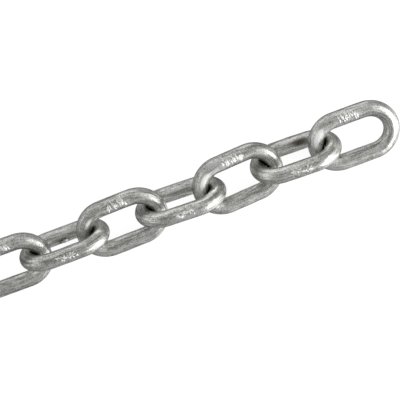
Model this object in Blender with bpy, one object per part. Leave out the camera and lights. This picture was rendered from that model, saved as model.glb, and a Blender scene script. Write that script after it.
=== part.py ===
# A metre of welded round steel chain with a zinc finish, lying in a line on a level floor.
#
# Every link is one steel bar, bent round and welded shut, so every link is one solid.
# Neighbours hook into each other and lean opposite ways, and each link rests on the lower
# of its two long sides. The chain runs along X, and its first link is at the +X end.
# Run it with: blender --background --python part.py
import math

import bmesh
import bpy
from mathutils import Matrix, Vector

# Driving dimensions, in metres
WIRE_DIAMETER = 0.010
INNER_LENGTH = 0.038
INNER_WIDTH = 0.018
HOOK_GAP = 0.0003
LINK_COUNT = 26

# Flat facets that stand for the round surfaces: 16 round the wire, so that one faces the floor
# when a link leans 45 degrees, and an even count round each bend, so that one sits on the
# crown's middle, where a shackle or the next link bears
WIRE_FLATS = 16
BEND_FLATS = 8

# How the first links lie, in degrees: how steeply each one leans above the floor, and its heading
SEEN_LEANS = (40.0, 39.0, 42.0, 44.0, 45.0, 47.0, 48.0)
SEEN_HEADINGS = (-0.5, -1.5, 3.5, -2.0, 1.0, 0.0, -0.5)

# The rest of the links sway gently about the middle one, which leans exactly as given here
MIDDLE_LINK = 13
MIDDLE_LEAN = 45.0
LEAN_SWAY = 1.5
HEADING_SWAY = 0.8
SWAY_STEP = 0.7

# Worked out from the driving dimensions
WIRE_RADIUS = WIRE_DIAMETER / 2
BEND_RADIUS = (INNER_WIDTH + WIRE_DIAMETER) / 2
CROWN = (INNER_LENGTH + WIRE_DIAMETER) / 2
BEND_CENTRE = CROWN - BEND_RADIUS
HOOK_STEP = INNER_LENGTH - HOOK_GAP
PIVOT = CROWN - WIRE_DIAMETER - HOOK_GAP

# Dull zinc
ZINC_COLOUR = (0.42, 0.43, 0.42, 1.0)
ZINC_ROUGHNESS = 0.48
ZINC_METALLIC = 0.9


def clear_scene():
    for old in list(bpy.data.objects):
        bpy.data.objects.remove(old, do_unlink=True)


def zinc_material():
    material = bpy.data.materials.new("hot_dip_zinc")
    material.use_nodes = True
    shader = material.node_tree.nodes["Principled BSDF"]
    shader.inputs["Base Color"].default_value = ZINC_COLOUR
    shader.inputs["Roughness"].default_value = ZINC_ROUGHNESS
    shader.inputs["Metallic"].default_value = ZINC_METALLIC
    return material


def link_mesh(material):
    """One closed link lying in its own XY plane, with its origin where the wire of the
    link before it passes through. Facets touch the round wire's surface at their middles."""
    mesh = bmesh.new()
    flat_angle = math.pi / BEND_FLATS
    first_angle = (flat_angle - math.pi) / 2
    corner_stretch = 1 / math.cos(flat_angle / 2)
    wire_corner = WIRE_RADIUS / math.cos(math.pi / WIRE_FLATS)

    # The wire's outline stands upright on the XZ plane, a bend radius from the bend's centre
    outline = bmesh.ops.create_circle(mesh, segments=WIRE_FLATS, radius=wire_corner)["verts"]
    bmesh.ops.rotate(mesh, verts=outline, matrix=Matrix.Rotation(math.pi / WIRE_FLATS, 3, "Z"))
    bmesh.ops.rotate(mesh, verts=outline, matrix=Matrix.Rotation(math.pi / 2, 3, "X"))
    bmesh.ops.translate(mesh, verts=outline, vec=(BEND_RADIUS, 0, 0))
    bmesh.ops.scale(mesh, verts=outline, vec=(corner_stretch, 1, 1))
    bmesh.ops.rotate(mesh, verts=outline, matrix=Matrix.Rotation(first_angle, 3, "Z"))

    # Spun round, it makes the bend at the +X end, and a turned copy makes the other bend
    bmesh.ops.spin(mesh, geom=list(mesh.edges), axis=(0, 0, 1), cent=(0, 0, 0),
                   angle=math.pi - flat_angle, steps=BEND_FLATS - 1)
    bmesh.ops.translate(mesh, verts=mesh.verts, vec=(BEND_CENTRE, 0, 0))
    copied = bmesh.ops.duplicate(mesh, geom=list(mesh.verts) + list(mesh.edges) + list(mesh.faces))
    copied_points = [item for item in copied["geom"] if isinstance(item, bmesh.types.BMVert)]
    bmesh.ops.rotate(mesh, verts=copied_points, matrix=Matrix.Rotation(math.pi, 3, "Z"))

    # The two straight sides join the open ends
    for side in (1, -1):
        ends = [edge for edge in mesh.edges if edge.is_boundary
                and side * (edge.verts[0].co.y + edge.verts[1].co.y) > 0]
        bmesh.ops.bridge_loops(mesh, edges=ends)

    bmesh.ops.translate(mesh, verts=mesh.verts, vec=(-PIVOT, 0, 0))
    bmesh.ops.recalc_face_normals(mesh, faces=mesh.faces)
    data = bpy.data.meshes.new("chain_link")
    mesh.to_mesh(data)
    mesh.free()
    data.shade_smooth()
    data.materials.append(material)
    return data


def lean_of(index):
    if index < len(SEEN_LEANS):
        return math.radians(SEEN_LEANS[index])
    phase = SWAY_STEP * (index + 1 - MIDDLE_LINK)
    return math.radians(MIDDLE_LEAN + LEAN_SWAY * (1 - math.cos(phase)))


def heading_of(index):
    if index < len(SEEN_HEADINGS):
        return math.radians(SEEN_HEADINGS[index])
    return math.radians(HEADING_SWAY * math.sin(SWAY_STEP * (index + 1 - MIDDLE_LINK)))


def hook_points():
    """The middle of the crown wire at each hook, from the +X end: each link hangs between two.
    A hook is as high as the mean lean of the two links that meet there."""
    leans = [lean_of(0)] + [lean_of(index) for index in range(LINK_COUNT)] + [lean_of(LINK_COUNT - 1)]
    heights = [WIRE_RADIUS + BEND_RADIUS * math.sin((leans[index] + leans[index + 1]) / 2)
               for index in range(LINK_COUNT + 1)]
    points = [Vector((0, 0, heights[0]))]
    for index in range(LINK_COUNT):
        rise = heights[index + 1] - heights[index]
        reach = math.sqrt(HOOK_STEP ** 2 - rise ** 2)
        heading = heading_of(index)
        points.append(points[-1] + Vector((-reach * math.cos(heading), -reach * math.sin(heading), rise)))
    return points


def lay_link(name, data, near, far, lean, parent):
    """Hang a link between two hook points, turned about its own length by its lean."""
    link = bpy.data.objects.new(name, data)
    bpy.context.collection.objects.link(link)
    link.parent = parent
    along = near - far
    link.location = near
    link.rotation_euler = (lean, -math.asin(along.z / along.length), math.atan2(along.y, along.x))
    return link


def build_chain():
    clear_scene()
    chain = bpy.data.objects.new("chain", None)
    bpy.context.collection.objects.link(chain)
    data = link_mesh(zinc_material())
    points = hook_points()
    links = []
    for index in range(LINK_COUNT):
        side = 1 if index % 2 == 0 else -1
        links.append(lay_link(f"link_{index + 1:02d}", data, points[index], points[index + 1],
                              side * lean_of(index), chain))

    # The whole chain is centred over the origin, with its lowest links on the floor
    bpy.context.view_layer.update()
    corners = [link.matrix_world @ point.co for link in links for point in data.vertices]
    low = Vector([min(corner[axis] for corner in corners) for axis in range(3)])
    high = Vector([max(corner[axis] for corner in corners) for axis in range(3)])
    chain.location = (-(low.x + high.x) / 2, -(low.y + high.y) / 2, -low.z)
    bpy.context.view_layer.update()


build_chain()
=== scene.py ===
# %% [markdown]
# # A metre of welded steel chain with a hot-dip zinc finish
#
# The real chain is made of round steel bar. A machine cuts a short bar, bends it round a
# former through the link before it, and welds the two ends together in the middle of one
# long side. The finished length is dipped in molten zinc, which leaves a satin grey skin.
#
# The plain model already has every link in its place, as a faceted bar. This script keeps
# those places and makes each link again as a smooth bar with its weld, its pressed marks
# and its zinc. It starts by loading the plain model, and it notes the model's box so that
# the finished chain can be compared with it at the end.

# %% Load the plain model
import math
import random

import bmesh
import bpy
import numpy as np
from mathutils import Matrix, Vector, noise


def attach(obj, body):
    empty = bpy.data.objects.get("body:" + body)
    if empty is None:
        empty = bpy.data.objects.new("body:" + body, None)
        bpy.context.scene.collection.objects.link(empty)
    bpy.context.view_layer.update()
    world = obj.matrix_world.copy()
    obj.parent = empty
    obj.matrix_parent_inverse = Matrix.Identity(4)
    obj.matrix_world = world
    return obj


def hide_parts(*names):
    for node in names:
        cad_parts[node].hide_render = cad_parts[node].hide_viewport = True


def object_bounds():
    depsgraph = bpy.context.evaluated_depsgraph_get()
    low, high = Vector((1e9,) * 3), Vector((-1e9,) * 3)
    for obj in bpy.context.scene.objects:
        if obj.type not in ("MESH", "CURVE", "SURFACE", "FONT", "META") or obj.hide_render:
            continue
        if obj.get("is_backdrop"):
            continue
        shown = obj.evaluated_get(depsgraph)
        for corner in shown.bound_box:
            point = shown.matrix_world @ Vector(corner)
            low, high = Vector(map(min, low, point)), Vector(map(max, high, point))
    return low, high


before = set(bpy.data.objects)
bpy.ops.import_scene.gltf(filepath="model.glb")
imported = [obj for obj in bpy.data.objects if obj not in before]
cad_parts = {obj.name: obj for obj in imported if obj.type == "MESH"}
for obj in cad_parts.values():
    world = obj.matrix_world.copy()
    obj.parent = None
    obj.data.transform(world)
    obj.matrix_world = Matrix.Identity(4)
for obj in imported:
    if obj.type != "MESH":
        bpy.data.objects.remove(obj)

MM = 0.001
cad_low, cad_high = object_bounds()
link_names = sorted(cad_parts)
print(len(link_names), "links, box in mm:", [round(side / MM, 1) for side in cad_high - cad_low])

# %% [markdown]
# ## Where a link lies
#
# A link is a flat loop, so it has three natural directions: along the loop, across it, and
# square to its face. The points of the plain link spread most along the first and least
# along the last. A singular value decomposition finds directions in that order, so nobody
# has to type in how each link was turned.
#
# Every link leans on its neighbours with one long side on the floor and the other raised.
# Pointing the across direction at the raised side gives all the links the same local axes:
# X runs along, Y points to the raised side, and Z points up out of the face.

# %% Read the local axes of each link
def link_axes(name):
    corners = np.array([vertex.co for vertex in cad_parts[name].data.vertices], dtype=float)
    corners = np.unique(corners.round(7), axis=0)
    middle = corners.mean(axis=0)
    directions = np.linalg.svd(corners - middle, full_matrices=False)[2]
    raised, face = Vector(directions[1]), Vector(directions[2])
    if raised.z < 0:
        raised.negate()
    if face.z < 0:
        face.negate()
    axes = Matrix((raised.cross(face), raised, face)).transposed()
    return Matrix.Translation(middle) @ axes.to_4x4()


axes_of = {name: link_axes(name) for name in link_names}
leans = [math.degrees(math.asin(axes_of[name].col[1].z)) for name in link_names]
print("Lean above the floor, in degrees:", [round(lean) for lean in leans])

# %% [markdown]
# ## The sizes of a link
#
# The flats of the plain link touch the true round bar, so its extents along the local axes
# are the true outer sizes. The bar's thickness gives its radius. The width then gives the
# radius of the bends, measured to the middle of the bar, and the length gives how far the
# centre of each bend lies from the middle of the link.

# %% Measure the bar and its bends
first_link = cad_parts[link_names[0]].data.vertices
to_local = axes_of[link_names[0]].inverted()
half_size = np.abs([to_local @ vertex.co for vertex in first_link]).max(axis=0)
WIRE_RADIUS = half_size[2]
BEND_RADIUS = half_size[1] - WIRE_RADIUS
BEND_CENTRE = half_size[0] - WIRE_RADIUS - BEND_RADIUS
BAR_LENGTH = 4 * BEND_CENTRE + 2 * math.pi * BEND_RADIUS
print(f"Bar {2 * WIRE_RADIUS / MM:.2f} mm thick and {BAR_LENGTH / MM:.1f} mm long round the loop")

# %% [markdown]
# ## The camera
#
# The photograph looks down steeply on one end of the chain, through a long lens, so the
# links hardly shrink with distance. The camera is turned about its own line of sight too,
# which makes the chain climb to the right. A camera is easiest to place by what it looks
# at: a point, an elevation, a distance, and a roll.

# %% Place the camera
SIGHT_ELEVATION = math.radians(73.37)
SIGHT_ROLL = math.radians(20.63)
SIGHT_DISTANCE = 1.0
LENS = 147.9
SENSOR = 36.0
# The point in the middle of the picture, measured from the middle of the first link
SIGHT_OFFSET = Vector((-0.1016, -0.0042, 0.0011))

aim = axes_of["link_01"].translation + SIGHT_OFFSET
towards_camera = Vector((0, -math.cos(SIGHT_ELEVATION), math.sin(SIGHT_ELEVATION)))
camera_data = bpy.data.cameras.new("photo_camera")
camera_data.lens = LENS
camera_data.sensor_width = SENSOR
camera_data.clip_start = 0.05
camera_data.clip_end = 50
camera = bpy.data.objects.new("photo_camera", camera_data)
bpy.context.collection.objects.link(camera)
turned = Matrix.Rotation(math.pi / 2 - SIGHT_ELEVATION, 4, "X") @ Matrix.Rotation(-SIGHT_ROLL, 4, "Z")
camera.matrix_world = Matrix.Translation(aim + SIGHT_DISTANCE * towards_camera) @ turned
bpy.context.scene.camera = camera
print("Camera at", [round(value, 3) for value in camera.location])

# %% [markdown]
# ## The smooth bar
#
# A bent bar could be a curve with a round bevel, but a mesh keeps full control of how many
# rings of points each stretch gets. The bends only need enough rings to look round. The
# raised side carries the pressed marks, so it gets many more.
#
# A circle is spun through half a turn to make one bend. A copy turned by half a turn makes
# the other bend, bridging joins their open ends with the two long sides, and cutting the
# long edges adds the rings there.
#
# The spin operator makes its edges and faces in an order that differs from run to run. Sorted
# by the numbers of their points, they come out the same every time.

# %% Make one smooth link
POINTS_ROUND = 88
BEND_STEPS = 40
LOWER_SIDE_CUTS = 23
RAISED_SIDE_CUTS = 75


def sort_by_points(bar):
    """Order the edges and faces by the three lowest numbers among each one's points."""
    bar.verts.index_update()
    total = len(bar.verts)

    def point_order(item):
        place = 0
        for index in sorted(vertex.index for vertex in item.verts)[:3]:
            place = place * total + index
        return place

    bar.edges.sort(key=point_order)
    bar.faces.sort(key=point_order)


def smooth_link():
    bar = bmesh.new()
    ring = bmesh.ops.create_circle(bar, segments=POINTS_ROUND, radius=WIRE_RADIUS)["verts"]
    bmesh.ops.rotate(bar, verts=ring, matrix=Matrix.Rotation(math.pi / 2, 3, "X"))
    bmesh.ops.translate(bar, verts=ring, vec=(BEND_RADIUS, 0, 0))
    bmesh.ops.rotate(bar, verts=ring, matrix=Matrix.Rotation(-math.pi / 2, 3, "Z"))
    bmesh.ops.spin(bar, geom=list(bar.edges), axis=(0, 0, 1), cent=(0, 0, 0),
                   angle=math.pi, steps=BEND_STEPS)
    bmesh.ops.translate(bar, verts=bar.verts, vec=(BEND_CENTRE, 0, 0))
    bend = list(bar.verts) + list(bar.edges) + list(bar.faces)
    copied = bmesh.ops.duplicate(bar, geom=bend)["geom"]
    other_bend = [item for item in copied if isinstance(item, bmesh.types.BMVert)]
    bmesh.ops.rotate(bar, verts=other_bend, matrix=Matrix.Rotation(math.pi, 3, "Z"))
    for side, cuts in ((-1, LOWER_SIDE_CUTS), (1, RAISED_SIDE_CUTS)):
        ends = [edge for edge in bar.edges if edge.is_boundary and side * edge.verts[0].co.y > 0]
        bridged = bmesh.ops.bridge_loops(bar, edges=ends)["edges"]
        bmesh.ops.subdivide_edges(bar, edges=bridged, cuts=cuts, use_grid_fill=True)
    bmesh.ops.recalc_face_normals(bar, faces=bar.faces)
    sort_by_points(bar)
    return bar


pattern_bar = smooth_link()
assert all(edge.is_manifold for edge in pattern_bar.edges)
print("One link has", 2 * len(pattern_bar.faces), "triangles")

# %% [markdown]
# ## Places on the bar
#
# Everything that happens to the steel follows the bar: streaks run along it, the weld goes
# round it, and the marks sit in the middle of one side. So each point gets two coordinates:
# how far along the bar it lies from the weld, and how far round the bar it lies from the
# outer edge of the loop. The nearest point of the bar's centre line gives both.

# %% Measure along and round the bar
def bar_place(points):
    """Metres along the bar from the weld, radians round it from the outer edge to the upper
    face, and metres out from its surface, for points in a link's own axes."""
    x, y, z = points.T
    straight = np.clip(np.abs(x), 0, BEND_CENTRE)
    beyond = np.abs(x) - straight
    turned = np.arctan2(y, beyond) + math.pi / 2
    out = np.hypot(beyond, y) - BEND_RADIUS
    along = BEND_RADIUS * turned + np.where(y < 0, straight, 2 * BEND_CENTRE - straight)
    return np.copysign(along, x), np.arctan2(z, out), np.hypot(out, z) - WIRE_RADIUS


pattern_points = np.array([vertex.co for vertex in pattern_bar.verts], dtype=float)
pattern_along, pattern_round, pattern_height = bar_place(pattern_points)
print(f"Along the bar from {pattern_along.min() / MM:.1f} to {pattern_along.max() / MM:.1f} mm,",
      f"and {np.abs(pattern_height).max() / MM:.4f} mm off the true surface")

# %% [markdown]
# ## Hot-rolled unevenness
#
# No rolled and bent bar is perfectly round. It swells and thins by a few hundredths of a
# millimetre, and the zinc lies on it in soft low lumps. Noise makes both. The noise is read
# in space, at the point's place in its own link, which closes on itself round the loop. A
# shift that differs from link to link keeps any two links from being the same.
#
# The long sides aren't quite straight either. The raised one bows outwards in the photograph,
# by about a quarter of a millimetre in its middle.

# %% Uneven skin of one link
SWELL = 0.07 * MM
SWELL_SIZE = 9 * MM
LUMP = 0.035 * MM
LUMP_SIZE = 2.2 * MM
SIDE_BOW = 0.25 * MM
TRIAL_POINTS = 2000


def read_noise(points, size, shift):
    return np.array([noise.noise(point) for point in points / size + shift])


def uneven_skin(points, shift):
    swell = SWELL * read_noise(points, SWELL_SIZE, shift)
    return swell + LUMP * read_noise(points, LUMP_SIZE, shift)


def side_bow(points):
    """How far each point moves towards the raised side."""
    reach = BEND_CENTRE + BEND_RADIUS
    lengthwise = np.clip(1 - (points[:, 0] / reach) ** 2, 0, 1) ** 2
    return SIDE_BOW * lengthwise * np.clip(points[:, 1] / BEND_RADIUS, 0, 1)


trial = uneven_skin(pattern_points[:TRIAL_POINTS], 0.5)
print(f"The skin rises and falls by {np.ptp(trial) / MM:.3f} mm")

# %% [markdown]
# ## The weld
#
# The two ends of the bar were pressed together while they glowed, so the steel swelled into
# a low collar there, with a thin ragged ridge of flash. The makers trim most of it. The
# weld sits in the middle of the side that lies on the floor, so its collar is left off the
# part of the bar that touches the ground. One link in view kept a lump of flash on the inside
# of the loop, with dark scale round its foot.
#
# Everything here is a hump: a smooth bell that has all but died away two reaches from its
# middle. Noise makes the ridge stray and breaks it up.

# %% Shape the weld
COLLAR = 0.12 * MM
COLLAR_REACH = 3.2 * MM
COLLAR_SCALE = 0.08
FLASH = 0.08 * MM
FLASH_REACH = 0.6 * MM
FLASH_STRAY = 0.8 * MM
RAGGED_SIZE = 1.3 * MM
FLOOR_SIDE = math.radians(-45)
# The untrimmed lump: its link, its height, its reach along and round the bar, and its place
UNTRIMMED_LINK = "link_06"
UNTRIMMED_FLASH = 0.9 * MM
UNTRIMMED_REACH = (3.0 * MM, 2.1 * MM)
UNTRIMMED_PLACE = (-0.3 * MM, math.radians(206))
# The scale lies where the lump has fallen to this share of its height
FOOT_LEVEL = 0.4
FOOT_REACH = 0.24


def hump(distance, reach):
    """1 in the middle, and nearly 0 two reaches from it."""
    return np.exp(-(distance / reach) ** 2)


def around(angle, middle):
    """The signed angle from the middle, the short way round."""
    return (angle - middle + math.pi) % (2 * math.pi) - math.pi


def weld_relief(name, along, turn, ragged):
    """How far the weld lifts the surface, and how dark its scale is."""
    off_floor = 0.5 - 0.5 * np.cos(turn - FLOOR_SIDE)
    collar = COLLAR * hump(along, COLLAR_REACH)
    ridge = FLASH * hump(along - FLASH_STRAY * ragged, FLASH_REACH) * np.clip(0.4 + ragged, 0, 1)
    lift = (collar + ridge) * off_floor
    scale = COLLAR_SCALE * hump(along, COLLAR_REACH) * off_floor
    if name == UNTRIMMED_LINK:
        lump = hump(along - UNTRIMMED_PLACE[0], UNTRIMMED_REACH[0])
        lump *= hump(WIRE_RADIUS * around(turn, UNTRIMMED_PLACE[1]), UNTRIMMED_REACH[1])
        # Noise roughens the lump, taking a little off trims its thin edge, and its top is cut flat
        lift += UNTRIMMED_FLASH * np.clip(1.5 * lump * (0.8 + 1.1 * ragged) - 0.15, 0, 1)
        foot = hump(lump - FOOT_LEVEL, FOOT_REACH) * np.clip(0.8 + 0.5 * ragged, 0, 1)
        scale = np.maximum(scale, foot)
    return lift, scale


print("Highest weld in mm:", round((COLLAR + FLASH) / MM, 2))

# %% [markdown]
# ## The pressed marks
#
# In the middle of the raised side each link carries a rough patch crossed by short bright
# ridges, left by the press. They are nothing one could read, so they are drawn at random:
# each link gets its own seed and a handful of short strokes. Links with odd numbers show
# longer, nearly parallel strokes across the bar, and links with even numbers a denser, finer
# scatter, nearer to the outer edge of the loop.
#
# The press was worn and the zinc has run over its work, so noise shifts the places where the
# distances are measured, and the strokes come out wavy. A point's distance from the nearest
# stroke gives both the height of the ridge and how brightly it is rubbed.

# %% Press the marks
PAD_LIFT = 0.12 * MM
PAD_REACH = (7.0 * MM, 3.0 * MM)
STROKE_LIFT = 0.22 * MM
STROKE_WIDTH = 0.38 * MM
MARKED_LENGTH = 13.0 * MM
MARKED_HALF_WIDTH = 1.6 * MM
WOBBLE = 0.9 * MM
WOBBLE_SIZE = 1.8 * MM
# For the links with odd and even numbers: the angle round the bar from the loop's outer
# edge to its upper face, the number of strokes, their half lengths in millimetres, and their
# slants in degrees
MARKS = {
    1: (math.radians(76), 10, (0.8, 2.6), (74, 92)),
    0: (math.radians(18), 16, (0.2, 0.9), (10, 170)),
}


def draw_strokes(count, half_lengths, slants, draw):
    """Middle, slant and half length of each stroke, on the flattened patch."""
    strokes = []
    for index in range(count):
        forward = ((index + draw.uniform(0.1, 0.9)) / count - 0.5) * MARKED_LENGTH
        beside = draw.uniform(-MARKED_HALF_WIDTH, MARKED_HALF_WIDTH)
        slant = math.radians(draw.uniform(*slants))
        strokes.append((forward, beside, slant, draw.uniform(*half_lengths) * MM))
    return strokes


def press_marks(number, along, turn, wobble, draw):
    """How far the marks lift the surface, how rough the patch is, and how near the middle of
    a stroke each point lies."""
    angle, count, half_lengths, slants = MARKS[number % 2]
    ahead = np.copysign(np.abs(along) - BAR_LENGTH / 2, along)
    beside = WIRE_RADIUS * around(turn, angle)
    patch = hump(ahead, PAD_REACH[0]) * hump(beside, PAD_REACH[1])
    ahead = ahead + WOBBLE * wobble[0]
    beside = beside + WOBBLE * wobble[1]
    nearest = np.full(len(along), 1.0)
    for middle, offset, slant, half_length in draw_strokes(count, half_lengths, slants, draw):
        forward, across = ahead - middle, beside - offset
        lengthwise = forward * math.cos(slant) + across * math.sin(slant)
        sideways = across * math.cos(slant) - forward * math.sin(slant)
        past_end = np.maximum(np.abs(lengthwise) - half_length, 0)
        nearest = np.minimum(nearest, np.hypot(past_end, sideways))
    stroke = hump(nearest, STROKE_WIDTH)
    return PAD_LIFT * patch + STROKE_LIFT * stroke, patch, stroke


print("Marks lie", [round(math.degrees(MARKS[parity][0])) for parity in MARKS], "degrees round the bar")

# %% [markdown]
# ## The hooks
#
# Where two links hook together, the pocket round the contact gets a painted shade, dark with a
# warm tint and without gloss. The distance from a point of one link to the steel of the next is
# known exactly, because the next link is a bar of the same shape in its own axes. The same
# distance keeps the uneven skin from growing into the neighbour.

# %% Measure how near the neighbours are
# How far the painted shade round the hooks reaches
HOOK_REACH = 1.7 * MM
HOOK_CLEAR = 1.5 * MM


def neighbour_distance(name, world_points):
    place = link_names.index(name)
    nearest = np.full(len(world_points), 1.0)
    for other in link_names[max(place - 1, 0):place + 2]:
        if other != name:
            to_other = np.array(axes_of[other].inverted())
            local = world_points @ to_other[:3, :3].T + to_other[:3, 3]
            nearest = np.minimum(nearest, bar_place(local)[2])
    return nearest


def place_points(axes, points):
    matrix = np.array(axes)
    return points @ matrix[:3, :3].T + matrix[:3, 3]


trial = neighbour_distance("link_01", place_points(axes_of["link_01"], pattern_points))
print(f"link_01 comes within {trial.min() / MM:.2f} mm of its neighbour")

# %% [markdown]
# ## Painted highlights, painted shade and stains
#
# A few places have a story of their own. The crowns at the far end of the first links with
# odd numbers stick up and get painted highlights, nearly white spots, and link_03 has a bright
# dab beside its marks. The second link gets a brown painted shade beside its weld, and a few
# links further on get brown stains where damp stood. Each is a soft spot on the bar, with a
# place along and round it, a reach both ways and a strength.

# %% Place the spots
# Link, millimetres along the bar from the weld, degrees round it, reach both ways in
# millimetres, and strength
HIGHLIGHT_AND_BRIGHT_SPOTS = (
    # The three crown rows are painted highlights; the last row is a bright dab beside the marks
    ("link_01", -41.0, 82, 5.5, 1.8, 1.5),
    ("link_03", -42.5, 92, 5.5, 1.6, 1.3),
    ("link_05", -43.5, 92, 5.0, 1.5, 0.6),
    ("link_03", 57.5, 82, 1.6, 1.3, 1.1),
)
STAIN_AND_SHADE_SPOTS = (
    # The link_02 row is a painted shade; the other rows are stains where damp stood
    ("link_02", -6.0, 148, 6.5, 2.8, 0.8),
    ("link_09", 12.0, 120, 7.0, 2.5, 0.7),
    ("link_16", -8.0, 60, 5.0, 3.0, 0.7),
    ("link_22", 20.0, 150, 8.0, 2.0, 0.6),
)


def spots_on(name, along, turn, spots):
    found = np.zeros(len(along))
    for link_name, ahead, degrees, reach_along, reach_round, strength in spots:
        if link_name == name:
            lengthwise = hump(along - ahead * MM, reach_along * MM)
            beside = WIRE_RADIUS * around(turn, math.radians(degrees))
            found += strength * lengthwise * hump(beside, reach_round * MM)
    return found


print(len(HIGHLIGHT_AND_BRIGHT_SPOTS), "rubbed spots and", len(STAIN_AND_SHADE_SPOTS), "stains")

# %% [markdown]
# ## Writing shader sums as Python
#
# A zinc skin is many small sums and products of patterns. Wiring Math nodes by hand hides
# what they add up to, so one small class wraps an output socket and teaches it the
# operators. An expression such as `1 - mask * 0.5` then adds its own Math nodes. Any other
# node comes from one method, which sets the node's settings first, because they decide
# which sockets it has, and then its sockets.

# %% A socket that can be added and multiplied
class Signal:
    """One output socket of a node, to be used in sums."""

    tree = None

    def __init__(self, socket):
        self.socket = socket

    @classmethod
    def node(cls, kind, settings, sockets, output=0):
        made = cls.tree.nodes.new(kind)
        for name, value in settings.items():
            setattr(made, name, value)
        for key, value in sockets.items():
            if isinstance(value, Signal):
                cls.tree.links.new(value.socket, made.inputs[key])
            else:
                made.inputs[key].default_value = value
        return cls(made.outputs[output])

    @classmethod
    def math(cls, operation, *values):
        return cls.node("ShaderNodeMath", {"operation": operation}, dict(enumerate(values)))

    def __add__(self, other):
        return self.math("ADD", self, other)

    def __sub__(self, other):
        return self.math("SUBTRACT", self, other)

    def __mul__(self, other):
        return self.math("MULTIPLY", self, other)

    def __rsub__(self, other):
        return self.math("SUBTRACT", other, self)

    __radd__ = __add__
    __rmul__ = __mul__


def attribute(name, output):
    return Signal.node("ShaderNodeAttribute", {"attribute_name": name}, {}, output)


def steps(value, low, high, low_result=0.0, high_result=1.0):
    """A smooth climb from one result to the other while the value goes from low to high."""
    return Signal.node("ShaderNodeMapRange", {"interpolation_type": "SMOOTHSTEP"},
                       {0: value, 1: low, 2: high, 3: low_result, 4: high_result})


def mix_colour(factor, first, second):
    return Signal.node("ShaderNodeMix", {"data_type": "RGBA"}, {0: factor, 6: first, 7: second}, 2)


zinc = bpy.data.materials.new("hot_dip_zinc_skin")
zinc.use_nodes = True
Signal.tree = zinc.node_tree
print("Material", zinc.name, "ready")

# %% [markdown]
# ## Streaks, clouds and grain
#
# Zinc runs along the bar as it drains and sets, so its tone changes in long thin streaks.
# Over them lie soft clouds of lighter and duller metal a few millimetres wide, and a fine
# grain of crystals. The streaks need a pattern that follows the bar and closes on itself:
# each point's place round the bar is a circle, its place along the bar is another, and
# together they are four numbers, which a four-dimensional noise reads without a seam.
# Squeezing the second circle stretches the streaks. Clouds and grain don't follow the bar,
# so they read Object coordinates. Every pattern lies between nought and one, about a half.

# %% Make the patterns
def noise_4d(per_metre_round, per_metre_along, detail, roughness):
    scaled = Signal.node("ShaderNodeVectorMath", {"operation": "MULTIPLY"}, {
        0: attribute("streak_place", "Vector"),
        1: (per_metre_round, per_metre_round, per_metre_along),
    })
    return Signal.node("ShaderNodeTexNoise", {"noise_dimensions": "4D"}, {
        "Vector": scaled,
        "W": attribute("streak_turn", "Fac") * per_metre_along,
        "Scale": 1.0,
        "Detail": detail,
        "Roughness": roughness,
    })


def noise_3d(per_metre, detail, roughness, distortion=0.0):
    where = Signal.node("ShaderNodeTexCoord", {}, {}, "Object")
    return Signal.node("ShaderNodeTexNoise", {"noise_dimensions": "3D"}, {
        "Vector": where,
        "Scale": per_metre,
        "Detail": detail,
        "Roughness": roughness,
        "Distortion": distortion,
    })


wide_streaks = noise_4d(per_metre_round=420, per_metre_along=28, detail=3, roughness=0.55)
fine_streaks = noise_4d(per_metre_round=1300, per_metre_along=130, detail=3, roughness=0.6)
clouds = noise_3d(per_metre=210, detail=4, roughness=0.6, distortion=0.4)
grain = noise_3d(per_metre=1300, detail=2, roughness=0.65)
print("Patterns made:", len(Signal.tree.nodes), "nodes so far")

# %% [markdown]
# ## The colour of the zinc
#
# The skin is a middle grey metal, a little warm and green, that varies from dull and dark to
# clean and light. Where the clouds are thickest it is stained warm, and by the hooks the same
# warm tint is painted shade. The lowest of the grain makes dark pits. The rubbed marks are
# nearly white, and the crowns at the far end of the first odd links carry painted highlights as
# nearly white spots. The pockets round the hooks are painted shade, dark with a brown tint, and
# the scale on the weld is dark too. Damp left brown stains, and on the second link the same
# brown is painted shade.
#
# Each of these is a mask between nought and one, and each mask mixes one colour over the one
# before it. Two masks for the same colour join as a + b - a * b, which never passes one.

# %% Mix the colour
DULL_ZINC = (0.29, 0.293, 0.27, 1.0)
CLEAN_ZINC = (0.86, 0.87, 0.835, 1.0)
RUBBED_AND_HIGHLIGHT_ZINC = (0.93, 0.935, 0.92, 1.0)
WARM_STAIN = (0.27, 0.235, 0.185, 1.0)
# The darkest colour serves the pits, the weld scale and the painted shade in the hook pockets
DARK_SCALE_AND_SHADE = (0.045, 0.04, 0.034, 1.0)
BROWN_STAIN_AND_SHADE = (0.105, 0.092, 0.072, 1.0)

patch = attribute("press_patch", "Fac")
nicks = attribute("press_nicks", "Fac")
painted_hook_shade = attribute("painted_hook_shade", "Fac")
weld_scale = attribute("weld_scale", "Fac")

streaks = wide_streaks * 1.2 + fine_streaks * 1.5
tone = streaks + clouds * 0.6 + grain * (1.2 + 1.2 * patch) - 0.6 * patch
cleanness = steps(tone, 1.9, 2.6)
skin = mix_colour(cleanness, DULL_ZINC, CLEAN_ZINC)
# Near the hooks this warm tint is painted shade
stain = steps(clouds + 0.35 * painted_hook_shade, 0.58, 0.85, 0.0, 0.6)
skin = mix_colour(stain, skin, WARM_STAIN)
pits = 1 - steps(grain, 0.27, 0.36)
skin = mix_colour(pits * (0.25 + 0.6 * patch), skin, DARK_SCALE_AND_SHADE)
# Painted highlights on the crowns of the first odd links, and a bright dab on link_03
painted_highlight_and_dab = steps(attribute("highlight_and_bright_spot", "Fac") + grain * 0.3, 0.3, 0.8)
rubbed = steps(nicks + grain * 1.1, 1.0, 1.4)
# From here on the mask holds both the rubbed marks and the painted highlights
rubbed = rubbed + painted_highlight_and_dab - rubbed * painted_highlight_and_dab
skin = mix_colour(rubbed, skin, RUBBED_AND_HIGHLIGHT_ZINC)
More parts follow.
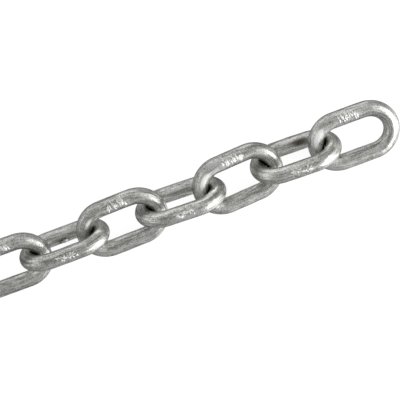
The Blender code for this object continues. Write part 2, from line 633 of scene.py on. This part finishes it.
# Painted shade: the pockets round the hooks are darkened nearly to black
skin = mix_colour(steps(painted_hook_shade, 0.3, 0.75), skin, DARK_SCALE_AND_SHADE)
skin = mix_colour(weld_scale, skin, DARK_SCALE_AND_SHADE)
# On link_02 this brown is a painted shade; on the other links it is a stain
damp = steps(attribute("stain_and_shade_spot", "Fac") + clouds * 0.5, 0.35, 1.1)
skin = mix_colour(damp, skin, BROWN_STAIN_AND_SHADE)
print("With the colour:", len(Signal.tree.nodes), "nodes")

# %% [markdown]
# ## Gloss and relief
#
# The skin is satin: clean zinc is smoother than dull zinc, and the painted shade in the hook
# pockets has no gloss. Scale, the rubbed marks and the painted highlights scatter the light more
# than they mirror it, so they count as less metallic. A dull skin also mirrors less at its edges
# than bright, smooth metal, which the edge tint sets. The fine relief is too small for the mesh,
# so a Bump node adds it to the shading.
# Its height is in millimetres here, and its distance turns that into metres.

# %% Finish the material
EDGE_TINT = (0.55, 0.55, 0.55, 1.0)

shader = Signal.tree.nodes["Principled BSDF"]
shader.inputs["Specular Tint"].default_value = EDGE_TINT
roughness = 0.44 - 0.14 * cleanness + 0.10 * patch + 0.25 * painted_hook_shade
metal = 1.0 - 0.6 * weld_scale - 0.9 * rubbed
height = wide_streaks * 0.12 + fine_streaks * 0.07 + clouds * 0.22 + grain * (0.03 + 0.2 * patch)
bump_sockets = {"Strength": 1.0, "Distance": MM, "Height": height}
relief = Signal.node("ShaderNodeBump", {}, bump_sockets, "Normal")
surface = {"Base Color": skin, "Roughness": roughness, "Metallic": metal, "Normal": relief}
for name, signal in surface.items():
    Signal.tree.links.new(signal.socket, shader.inputs[name])
print("Zinc has", len(Signal.tree.nodes), "nodes")

# %% [markdown]
# ## Dressing every link
#
# Each link starts as a copy of the smooth pattern. Its points move in and out, square to the
# bar's surface, by the uneven skin, the weld and the marks, less near a neighbour, and never
# below the floor. The masks that the material reads are found on the way.
#
# The link's number seeds all its random draws, so every run makes the same chain.

# %% Shape one link
SHIFT_RANGE = 50
WOBBLE_SHIFTS = (7, 13)

pattern_normals = np.array([vertex.normal for vertex in pattern_bar.verts])


def shape_link(name, number, shift, draw):
    """The link's points where it lies in the chain, and its masks."""
    near = neighbour_distance(name, place_points(axes_of[name], pattern_points))
    ragged = read_noise(pattern_points, RAGGED_SIZE, shift)
    wobble = [read_noise(pattern_points, WOBBLE_SIZE, shift + extra) for extra in WOBBLE_SHIFTS]
    weld, scale = weld_relief(name, pattern_along, pattern_round, ragged)
    marks, patch_mask, nick_mask = press_marks(number, pattern_along, pattern_round, wobble, draw)

    lift = uneven_skin(pattern_points, shift) + weld + marks
    lift *= np.clip(near / HOOK_CLEAR, 0, 1)
    points = pattern_points + lift[:, None] * pattern_normals
    points[:, 1] += side_bow(pattern_points)
    points = place_points(axes_of[name], points)
    points[:, 2] = np.maximum(points[:, 2], cad_low.z)
    return points, {
        "press_patch": patch_mask,
        "press_nicks": nick_mask,
        # The painted shade round the hooks
        "painted_hook_shade": hump(near, HOOK_REACH),
        "weld_scale": scale,
        "highlight_and_bright_spot": spots_on(name, pattern_along, pattern_round, HIGHLIGHT_AND_BRIGHT_SPOTS),
        "stain_and_shade_spot": spots_on(name, pattern_along, pattern_round, STAIN_AND_SHADE_SPOTS),
    }


print("A link has", len(pattern_normals), "points to move")

# %% [markdown]
# ## From points to a finished piece
#
# The moved points go into a mesh of their own, with the masks stored on them and with the
# places that the streaks read. The finished mesh stands for the plain link and rides with it
# when the chain moves. All the links share one material.

# %% Dress every link
def set_values(mesh, name, values):
    kind, field = ("FLOAT_VECTOR", "vector") if values.ndim == 2 else ("FLOAT", "value")
    stored = mesh.attributes.new(name, kind, "POINT")
    stored.data.foreach_set(field, values.astype(np.float32).ravel())


def streak_places(shift):
    """Each point's place on a circle round the bar and on a circle along it."""
    turn = pattern_along / BAR_LENGTH * 2 * math.pi
    loop_radius = BAR_LENGTH / (2 * math.pi)
    place = np.column_stack((
        WIRE_RADIUS * np.cos(pattern_round) + shift[0] * MM,
        WIRE_RADIUS * np.sin(pattern_round) + shift[1] * MM,
        loop_radius * np.cos(turn) + shift[2],
    ))
    return {"streak_place": place, "streak_turn": loop_radius * np.sin(turn) + shift[1]}


def dress_link(name):
    number = int(name.split("_")[1])
    draw = random.Random(number)
    shift = np.array([draw.uniform(0, SHIFT_RANGE) for _ in range(3)])
    points, masks = shape_link(name, number, shift, draw)
    mesh = bpy.data.meshes.new("zinc_" + name)
    pattern_bar.to_mesh(mesh)
    mesh.vertices.foreach_set("co", points.astype(np.float32).ravel())
    mesh.shade_smooth()
    mesh.materials.append(zinc)
    for value_name, values in (streak_places(shift) | masks).items():
        set_values(mesh, value_name, values)

    link = bpy.data.objects.new("zinc_" + name, mesh)
    bpy.context.collection.objects.link(link)
    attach(link, name)
    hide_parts(name)
    return link


dressed = [dress_link(name) for name in link_names]
triangles = sum(2 * len(link.data.polygons) for link in dressed)
print(len(dressed), "links dressed,", triangles, "triangles")

# %% [markdown]
# ## The floor
#
# The photograph is a plain studio one, on a white ground with no visible edge or shadow. The
# floor is a wide white sheet that glows a little, so that it prints as paper white. A glowing
# floor would light the undersides of the links more than the photograph shows, so it is kept
# out of the metal's reflections.

# %% Lay the floor
FLOOR_WIDTH = 40.0
FLOOR_COLOUR = (0.35, 0.35, 0.35, 1.0)
FLOOR_GLOW = 0.86

floor_shape = bmesh.new()
bmesh.ops.create_grid(floor_shape, x_segments=1, y_segments=1, size=FLOOR_WIDTH / 2)
floor_mesh = bpy.data.meshes.new("studio_floor")
floor_shape.to_mesh(floor_mesh)
floor_shape.free()
floor = bpy.data.objects.new("studio_floor", floor_mesh)
bpy.context.collection.objects.link(floor)
paper = bpy.data.materials.new("white_paper")
paper.use_nodes = True
paper_shader = paper.node_tree.nodes["Principled BSDF"]
paper_shader.inputs["Base Color"].default_value = FLOOR_COLOUR
paper_shader.inputs["Roughness"].default_value = 1.0
paper_shader.inputs["Specular IOR Level"].default_value = 0.0
paper_shader.inputs["Emission Color"].default_value = (1, 1, 1, 1)
paper_shader.inputs["Emission Strength"].default_value = FLOOR_GLOW
floor_mesh.materials.append(paper)
floor.visible_glossy = False
floor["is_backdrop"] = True
print("Floor", FLOOR_WIDTH, "m wide")

# %% [markdown]
# ## The room and its light
#
# Satin metal shows what stands round it. Two strong panels stand low, to the front and right,
# and put the bright stripes on the bends. A weaker one hangs higher on the right, and dim
# ones behind, above and on the left shape the rest. The room itself is an even grey that
# grows brighter towards the front and right, where it stands in for the lit ground there.

# %% Light the room
ROOM_COLOUR = (0.38, 0.38, 0.38, 1.0)
# The bright side: its colour, the direction of its middle, and how nearly a direction has to
# point there, as a cosine, for the glow to begin and to be full
GLOW_COLOUR = (1.5, 1.5, 1.5, 1.0)
GLOW_TOWARDS = Vector((0.85, -0.45, -0.35)).normalized()
GLOW_EDGES = (0.45, 1.0)
PANEL_DISTANCE = 2.4
# Name, compass angle (0 is +Y, 90 is +X) and height angle in degrees, width and height in
# metres, and brightness in watts for each square metre
PANELS = (
    ("low_front_panel", 137, 14, 1.9, 1.1, 11.0),
    ("low_right_panel", 122, 14, 1.0, 0.9, 10.0),
    ("right_panel", 110, 40, 1.8, 1.3, 3.6),
    ("back_panel", 350, 35, 3.4, 1.6, 1.5),
    ("low_back_panel", 350, 12, 3.4, 0.9, 1.5),
    ("top_panel", 20, 72, 1.6, 1.6, 0.7),
    ("left_panel", 270, 30, 2.4, 1.6, 1.9),
)

room = bpy.data.worlds.new("studio_room")
room.use_nodes = True
room_background = room.node_tree.nodes["Background"]
Signal.tree = room.node_tree
towards = Signal.node("ShaderNodeTexCoord", {}, {}, "Generated")
dot_product = {"operation": "DOT_PRODUCT"}
facing_glow = Signal.node("ShaderNodeVectorMath", dot_product, {0: towards, 1: GLOW_TOWARDS}, "Value")
room_colour = mix_colour(steps(facing_glow, *GLOW_EDGES), ROOM_COLOUR, GLOW_COLOUR)
Signal.tree.links.new(room_colour.socket, room_background.inputs["Color"])
bpy.context.scene.world = room


def hang_panel(name, compass, height_angle, width, height, brightness):
    data = bpy.data.lights.new(name, "AREA")
    data.shape = "RECTANGLE"
    data.size = width
    data.size_y = height
    data.energy = brightness * width * height
    panel = bpy.data.objects.new(name, data)
    bpy.context.collection.objects.link(panel)
    turn, rise = math.radians(compass), math.radians(height_angle)
    back = Vector((math.sin(turn) * math.cos(rise), math.cos(turn) * math.cos(rise), math.sin(rise)))
    facing = back.to_track_quat("Z", "Y").to_matrix().to_4x4()
    panel.matrix_world = Matrix.Translation(aim + PANEL_DISTANCE * back) @ facing
    panel.visible_camera = False
    return panel


for panel_values in PANELS:
    hang_panel(*panel_values)
bpy.context.scene.view_settings.view_transform = "Standard"
print(len(PANELS), "panels")

# %% [markdown]
#
# The skin may stand a little proud of the plain links, but the chain must keep its size, so
# the two boxes are compared here.

# %% Compare the boxes and finish
low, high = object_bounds()
grown = (high - low) - (cad_high - cad_low)
print("Grown by, in mm:", [round(side / MM, 2) for side in grown])
